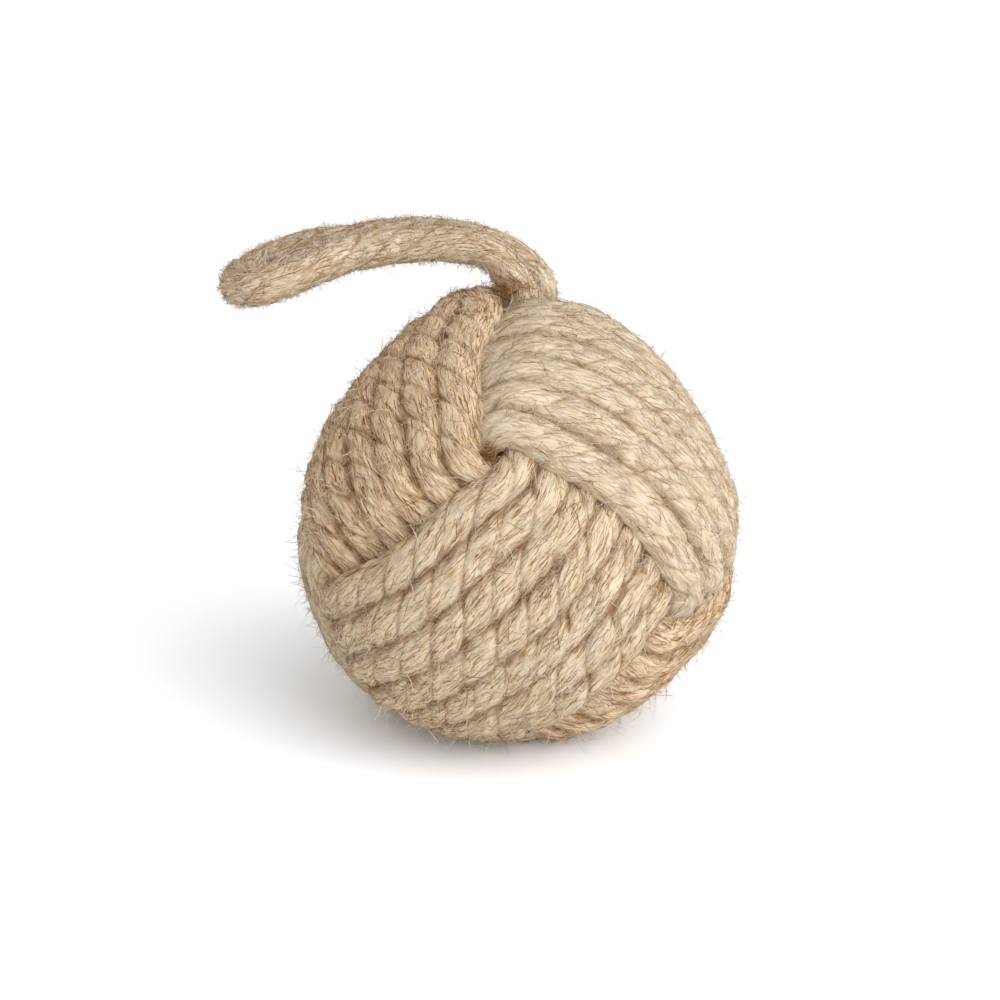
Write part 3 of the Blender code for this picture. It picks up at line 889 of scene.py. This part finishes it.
def rope_material(name, tint, depth, calm):
    """Jute strand: fine fibres along the UV map's flow, some across it, with painted shade in the creases.

    The dark lines between its fibres fade towards straw, the calmer it is, from 0 to 1.
    """
    s = Shades(name)
    uv = s.add("ShaderNodeTexCoord").outputs["UV"]
    place = s.add("ShaderNodeTexCoord").outputs["Object"]
    hair = s.noise(s.stretched(uv, (160, 2900, 1)), 1.0, 1.0, 0.5, 0.15)
    over = s.noise(s.stretched(s.turned(uv, 16), (200, 2700, 1)), 1.0, 1.0, 0.5, 0.15)
    under = s.noise(s.stretched(s.turned(uv, -16), (200, 2700, 1)), 1.0, 1.0, 0.5, 0.15)
    fine = s.noise(s.stretched(uv, (80, 1500, 1)), 1.0, 2.0, 0.6, 0.2)
    bundle = s.noise(s.stretched(uv, (60, 700, 1)), 1.0, 2.0, 0.5, 0.2)
    strip = s.noise(s.stretched(uv, (25, 240, 1)), 1.0, 1.0)
    patch = s.noise(place, 45.0, 2.0)
    mixed = s.total((hair, 0.38), (over, 0.16), (under, 0.16), (fine, 0.2), (bundle, 0.1))
    darkest, darker = ([a + (b - a) * calm for a, b in zip(shade, STRAW)] for shade in (BROWN, TAN))
    color = s.ramp(mixed, ((0.410, darkest), (0.440, darker), (0.474, STRAW), (0.61, PALE)))
    slow = s.between(s.total((strip, 0.6), (patch, 0.4)), 0.36, 0.64)
    color = s.mix(1.0, color, s.ramp(slow, ((0.0, (0.95, 0.91, 0.87)), (1.0, (1.0, 1.0, 1.0)))), "MULTIPLY")
    hue = s.between(s.noise(s.stretched(uv, (90, 600, 1)), 1.0, 1.0), 0.35, 0.65)
    color = s.mix(1.0, color, s.ramp(hue, ((0.0, PINKISH), (0.5, (1.0, 1.0, 1.0)), (1.0, YELLOWISH))), "MULTIPLY")
    rust_noise = s.noise(s.stretched(uv, (110, 1700, 1)), 1.0, 1.0)
    color = s.mix(s.between(rust_noise, 0.66, 0.76), color, (*RUST, 1.0))
    # Painted shade in the creases and between the turns: rust or darker brown in patches, as strong as the given depth
    crease_shade = s.add("ShaderNodeAttribute", attribute_name="crease_shade").outputs["Fac"]
    shade_pocket = s.between(s.noise(place, 150.0, 1.0), 0.4, 0.6)
    shade = s.ramp(shade_pocket, ((0.0, CREASE_SHADE_RUST), (1.0, CREASE_SHADE_BROWN)))
    shade_share = s.math("MULTIPLY", s.between(s.noise(place, 110.0, 1.0), 0.36, 0.60), depth)
    color = s.mix(s.math("MULTIPLY", crease_shade, shade_share), color, shade)
    color = s.mix(1.0, color, (*tint, 1.0), "MULTIPLY")
    height = s.total((fine, 0.5), (bundle, 0.4), (hair, 0.5), (over, 0.25), (under, 0.25))
    bump = s.add("ShaderNodeBump", [("Strength", 0.7 - 0.3 * calm), ("Distance", 0.0004), ("Height", height)])
    return s.finish(color, 0.95, 0.04, bump.outputs["Normal"])


def fibre_material(name, tint):
    """Single fibres: each of its own tone, darkened with painted shade where they start low between the turns and
    strands.
    """
    s = Shades(name)
    tone = s.add("ShaderNodeAttribute", attribute_name="tone").outputs["Fac"]
    place = s.add("ShaderNodeTexCoord").outputs["Object"]
    streak = s.noise(place, 260.0, 1.0)
    stops = ((0.0, BROWN), (0.15, RUST), (0.35, TAN), (0.55, STRAW), (0.8, PALE), (1.0, BLEACHED))
    shade = s.ramp(s.between(streak, 0.3, 0.7), ((0.0, (0.84, 0.79, 0.73)), (1.0, (1.0, 1.0, 1.0))))
    color = s.mix(1.0, s.ramp(tone, stops), shade, "MULTIPLY")
    return s.finish(s.mix(1.0, color, (*tint, 1.0), "MULTIPLY"), 0.9, 0.04)


CALICO = (0.640, 0.560, 0.430)
CALICO_THREAD = (0.760, 0.690, 0.560)
TWINE_BROWN = (0.360, 0.245, 0.130)
TWINE_PALE = (0.520, 0.390, 0.230)
SAND_DARK = (0.300, 0.210, 0.120)
SAND_PALE = (0.680, 0.560, 0.390)


def calico_material():
    """Plain weave of unbleached cotton, its threads at 0.6 mm."""
    s = Shades("calico_cloth")
    place = s.add("ShaderNodeTexCoord").outputs["Object"]
    weft = s.add("ShaderNodeTexWave", [("Vector", place), ("Scale", 270.0), ("Distortion", 1.5)], bands_direction="Z")
    warp = s.add("ShaderNodeTexWave", [("Vector", place), ("Scale", 270.0), ("Distortion", 1.5)], bands_direction="X")
    weave = s.math("MULTIPLY", weft.outputs["Fac"], warp.outputs["Fac"])
    slub = s.noise(s.stretched(place, (60, 60, 600)), 1.0, 2.0)
    color = s.mix(s.math("MULTIPLY", weave, slub), (*CALICO, 1.0), (*CALICO_THREAD, 1.0))
    bump = s.add("ShaderNodeBump", [("Strength", 0.5), ("Distance", 0.0003), ("Height", weave)])
    return s.finish(color, 0.95, 0.15, bump.outputs["Normal"])


def twine_material():
    """Tarred brown twine, streaked along its turns."""
    s = Shades("brown_twine")
    place = s.add("ShaderNodeTexCoord").outputs["Object"]
    streak = s.noise(place, 900.0, 3.0, 0.7)
    color = s.ramp(streak, ((0.35, TWINE_BROWN), (0.65, TWINE_PALE)))
    bump = s.add("ShaderNodeBump", [("Strength", 0.6), ("Distance", 0.0003), ("Height", streak)])
    return s.finish(color, 0.85, 0.25, bump.outputs["Normal"])


def sand_material():
    """Dry sand: grains of a few tenths of a millimetre, dark and pale."""
    s = Shades("dry_sand")
    place = s.add("ShaderNodeTexCoord").outputs["Object"]
    grain = s.add("ShaderNodeTexVoronoi", [("Vector", place), ("Scale", 2200.0)])
    tone = s.math("FRACT", s.math("MULTIPLY", grain.outputs["Color"], 3.7), 0.0)
    color = s.ramp(tone, ((0.0, SAND_DARK), (0.35, SAND_PALE), (1.0, CALICO)))
    bump = s.add("ShaderNodeBump", [("Strength", 0.7), ("Distance", 0.0003), ("Height", grain.outputs["Distance"])])
    return s.finish(color, 0.9, 0.3, bump.outputs["Normal"])


# Stage

def aim(obj, place, target, roll=0.0):
    obj.location = place
    turned = (Vector(target) - Vector(place)).to_track_quat("-Z", "Y").to_matrix()
    obj.rotation_euler = (turned @ Matrix.Rotation(roll, 3, "Z")).to_euler()


def make_camera(centre):
    data = bpy.data.cameras.new("camera")
    camera = bpy.data.objects.new("camera", data)
    bpy.context.scene.collection.objects.link(camera)
    data.sensor_width = CAMERA_SENSOR
    data.lens = CAMERA_LENS
    data.shift_x = (PICTURE_SIZE / 2 - BALL_PIXEL[0]) / PICTURE_SIZE
    data.shift_y = (BALL_PIXEL[1] - PICTURE_SIZE / 2) / PICTURE_SIZE
    data.clip_start = 0.05
    data.clip_end = 50.0
    back = Vector(view_axes()[0])
    aim(camera, centre + back * CAMERA_DISTANCE, centre, CAMERA_ROLL)
    bpy.context.scene.camera = camera


def make_sun(name, direction, strength, spread, color):
    data = bpy.data.lights.new(name, "SUN")
    data.energy = strength
    data.angle = spread
    data.color = color
    lamp = bpy.data.objects.new(name, data)
    bpy.context.scene.collection.objects.link(lamp)
    aim(lamp, direction, (0, 0, 0))


def stage_material(name, seen, lit):
    """White as the camera, gloss and glass see it, and plain pale grey for the light that it returns."""
    s = Shades(name)
    path = s.add("ShaderNodeLightPath")
    seen_by = s.math("MAXIMUM", path.outputs["Is Camera Ray"], path.outputs["Is Glossy Ray"])
    seen_by = s.math("MAXIMUM", seen_by, path.outputs["Is Transmission Ray"])
    color = s.mix(seen_by, (lit, lit, lit, 1.0), seen)
    diffuse = s.add("ShaderNodeBsdfDiffuse", [("Color", color)])
    output = s.tree.nodes["Material Output"]
    s.tree.links.new(diffuse.outputs["BSDF"], output.inputs["Surface"])
    return s.material


WARM_WHITE = (1.0, 0.95, 0.88)
PLAIN_WHITE = (1.0, 1.0, 1.0)
COOL_WHITE = (0.95, 0.98, 1.0)


def make_world(strength):
    world = bpy.data.worlds.new("studio")
    world.use_nodes = True
    bpy.context.scene.world = world
    tree = world.node_tree
    path = tree.nodes.new("ShaderNodeLightPath")
    background = tree.nodes["Background"]
    color = tree.nodes.new("ShaderNodeMix")
    color.data_type = "RGBA"
    color.inputs[6].default_value = (*WARM_WHITE, 1.0)
    color.inputs[7].default_value = (1.0, 1.0, 1.0, 1.0)
    node = tree.nodes.new("ShaderNodeMapRange")
    node.inputs["To Min"].default_value = strength
    node.inputs["To Max"].default_value = 1.0
    both = tree.nodes.new("ShaderNodeMath")
    both.operation = "MAXIMUM"
    third = tree.nodes.new("ShaderNodeMath")
    third.operation = "MAXIMUM"
    tree.links.new(path.outputs["Is Camera Ray"], both.inputs[0])
    tree.links.new(path.outputs["Is Glossy Ray"], both.inputs[1])
    tree.links.new(both.outputs["Value"], third.inputs[0])
    tree.links.new(path.outputs["Is Transmission Ray"], third.inputs[1])
    tree.links.new(third.outputs["Value"], node.inputs["Value"])
    tree.links.new(third.outputs["Value"], color.inputs["Factor"])
    tree.links.new(color.outputs[2], background.inputs["Color"])
    tree.links.new(node.outputs["Result"], background.inputs["Strength"])


def make_floor():
    half = 6.0
    places = np.array(((-half, -half, 0), (half, -half, 0), (half, half, 0), (-half, half, 0)), float)
    places[:, 2] = -0.05 * MM
    floor = mesh_object("floor", places, [(0, 1, 2, 3)], stage_material("floor_white", (1.18, 1.24, 1.33, 1.0), 1.0))


# Kinds of loose hair, and where each kind grows

CREVICE_FUZZ = Hairs(4, (1.5 * MM, 4 * MM), (0.05 * MM, 0.1 * MM), (0.0, 0.9), 0.4, 0.22, 0.12)
PALE_CREVICE_FUZZ = Hairs(4, (1.5 * MM, 4 * MM), (0.05 * MM, 0.11 * MM), (0.0, 0.9), 0.4, 0.33, 0.15)
SHORT_FUZZ = Hairs(3, (1.0 * MM, 3.6 * MM), (0.035 * MM, 0.08 * MM), (0.2, 1.3), 0.3, 0.76, 0.2)
LOOP_FUZZ = Hairs(3, (1.4 * MM, 4.4 * MM), (0.05 * MM, 0.1 * MM), (0.2, 1.3), 0.3, 0.72, 0.22)
STRAY_HAIRS = Hairs(5, (4 * MM, 12 * MM), (0.06 * MM, 0.11 * MM), (0.05, 0.5), 0.26, 0.95, 0.1)
LONG_HAIRS = Hairs(12, (16 * MM, 30 * MM), (0.06 * MM, 0.1 * MM), (0.1, 0.5), 0.12, 0.95, 0.1)
# Fuzz in the crevices is browner than on the tops, painted shade, and paler on the lit pass at the right
CREVICE_KINDS = (CREVICE_FUZZ, PALE_CREVICE_FUZZ, CREVICE_FUZZ)
LONG_COUNTS = (14, 8, 14)

# Lit and shaded copies of one rope, painted light: for the passes that show in front, at the right and at
# the left, the tint (warmer in the shade at the left, cooler in the light at the right), how dark the
# painted crease shade is, how calm the lines are, and the share of dark fibres
LIGHT_TINTS = ((1.0, 0.990, 0.965), (1.0, 1.0, 0.995), (1.030, 0.970, 0.900))
CREASE_SHADE_DEPTHS = (1.0, 0.65, 1.1)
CALM = (0.1, 0.65, 0.0)
DARK_SHARES = (0.30, 0.08, 0.35)
LOOP_TINT = (1.010, 1.005, 0.995)
LYING_FIBRES = 16500

# Tangles at the loop's root: place as seen from the front, spread, fibres and tone
FOOT_TANGLES = (
    ((-1.5 * MM, 77.0 * MM, 15.0 * MM), (3.4 * MM, 2.4 * MM, 1.2 * MM), 420, 0.2),
)
TANGLES = (
    ((-4.5 * MM, 74.0 * MM, 7.0 * MM), (1.5 * MM, 2.0 * MM, 1.6 * MM), 350, 0.08),
    ((0.0 * MM, 74.0 * MM, 12.0 * MM), (2.4 * MM, 1.2 * MM, 1.6 * MM), 260, 0.22),
    ((-13.0 * MM, 75.0 * MM, 7.5 * MM), (3.6 * MM, 1.0 * MM, 0.9 * MM), 300, 0.3),
    ((-8.5 * MM, 20.5 * MM, 66.5 * MM), (1.1 * MM, 1.0 * MM, 1.1 * MM), 260, 0.15),
)


def on_top(up, out, packed):
    return (up > 0.3) & (out > 0.925)


def in_crevice(up, out, packed):
    return (up > 0.15) & ((out < 0.94) | (packed > 0.5) & (up < 0.77))


def all_round(up, out, packed):
    return out > 0.925


def in_groove(up, out, packed):
    return out < 0.94


def make_tangle(name, heaps, centre, rng, material):
    """Reddish curly fibres in heaps around places given as seen from the front."""
    points = 6
    back, right, up = view_axes()
    starts, tones = [], []
    for (across, rise, near), spread, count, tone in heaps:
        middle = np.array(centre) + right * across + up * rise + back * near
        starts.append(middle + rng.normal(0, 1, (count, 3)) * np.array(spread))
        tones.append(rng.normal(tone, 0.14, count))
    place = np.concatenate(starts)
    count = len(place)
    heading = unit(rng.normal(0, 1, (count, 3)))
    curl = rng.normal(0, 0.6, (count, 3))
    length = rng.uniform(2 * MM, 6 * MM, count)
    lines = np.zeros((count, points, 3))
    for k in range(points):
        lines[:, k] = place
        heading = unit(heading + np.cross(curl, heading) + rng.normal(0, 0.15, (count, 3)))
        place = place + heading * (length / (points - 1))[:, None]
    radii = rng.uniform(0.06 * MM, 0.11 * MM, count)
    return hair_mesh(name, lines, radii, np.clip(np.concatenate(tones), 0, 1), material)


def main():
    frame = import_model()
    joint = frame["joints"][0]
    pivot = Vector(joint["pos_m"])
    axes, corner = knot_axes()
    centre = pivot - corner * (BALL_RADIUS - PLUG_SINK + FIT_GAP + ROPE / 2)
    rng = np.random.default_rng(7)

    make_camera(centre)
    make_floor()
    make_world(0.58)
    make_sun("high", (0.35, -0.35, 0.87), 0.58, 50 * DEG, COOL_WHITE)
    make_sun("broad", (0.6, -0.75, 0.35), 1.34, 80 * DEG, PLAIN_WHITE)
    make_sun("low", (0.7, -0.65, 0.25), 0.47, 60 * DEG, PLAIN_WHITE)
    make_sun("front", (0.2, -0.97, 0.04), 1.15, 80 * DEG, PLAIN_WHITE)
    make_sun("right", (0.95, -0.15, 0.28), 0.55, 60 * DEG, COOL_WHITE)

    for number, name in enumerate(PASS_NAMES):
        # Each pass gets a lit or shaded copy of the jute, painted light
        strand = rope_material(name + "_jute", LIGHT_TINTS[number], CREASE_SHADE_DEPTHS[number], CALM[number])
        fibre = fibre_material(name + "_fibre", LIGHT_TINTS[number])
        rope = make_pass(number, axes, centre, rng)
        piece = strand_mesh(name + "_rope", rope, ring_runs(rope, RING_STEP, HIDDEN_STEP), RING_SIDES, strand)
        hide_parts(name)
        grown = (
            piece,
            lying_fibres(name + "_fibres", rope, LYING_FIBRES, rng, fibre, on_top, DARK_SHARES[number]),
            CREVICE_KINDS[number].grow(name + "_crevice_fuzz", [rope], (5000,), rng, fibre, in_crevice),
            SHORT_FUZZ.grow(name + "_short_fuzz", [rope], (12000,), rng, fibre, on_top),
            STRAY_HAIRS.grow(name + "_stray_hairs", [rope], (4200,), rng, fibre, on_top),
            LONG_HAIRS.grow(name + "_long_hairs", [rope], (LONG_COUNTS[number],), rng, fibre, on_top),
        )
        for obj in grown:
            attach(obj, "root")

    strand = rope_material("loop_jute", LOOP_TINT, CREASE_SHADE_DEPTHS[0], CALM[0])
    fibre = fibre_material("loop_fibre", LOOP_TINT)
    swing, up = handle_axes(corner)
    places = np.array([tuple(point) for point in loop_line(pivot, corner)])
    loop = Rope(places, level_outward(places), np.ones(len(places)), np.ones(len(places), bool), rng, LOOP_EVENNESS)
    piece = strand_mesh("loop_rope", loop, ring_runs(loop, 1.1 * MM, 2 * MM), 20, strand)
    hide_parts("handle_loop", "handle_root")
    grown = (
        piece,
        lying_fibres("loop_fibres", loop, 5500, rng, fibre, all_round),
        CREVICE_FUZZ.grow("loop_crevice_fuzz", [loop], (1500,), rng, fibre, in_groove),
        LOOP_FUZZ.grow("loop_short_fuzz", [loop], (15000,), rng, fibre, all_round),
        STRAY_HAIRS.grow("loop_stray_hairs", [loop], (500,), rng, fibre, all_round),
        LONG_HAIRS.grow("loop_long_hairs", [loop], (9,), rng, fibre, all_round),
        make_tangle("foot_tangle", FOOT_TANGLES, centre, rng, fibre),
    )
    for obj in grown:
        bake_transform(obj)
    tangle = make_tangle("root_tangle", TANGLES, centre, rng, fibre)
    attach(tangle, "root")

    make_filling(centre, corner)
    bpy.context.scene.view_settings.view_transform = "Standard"


main()
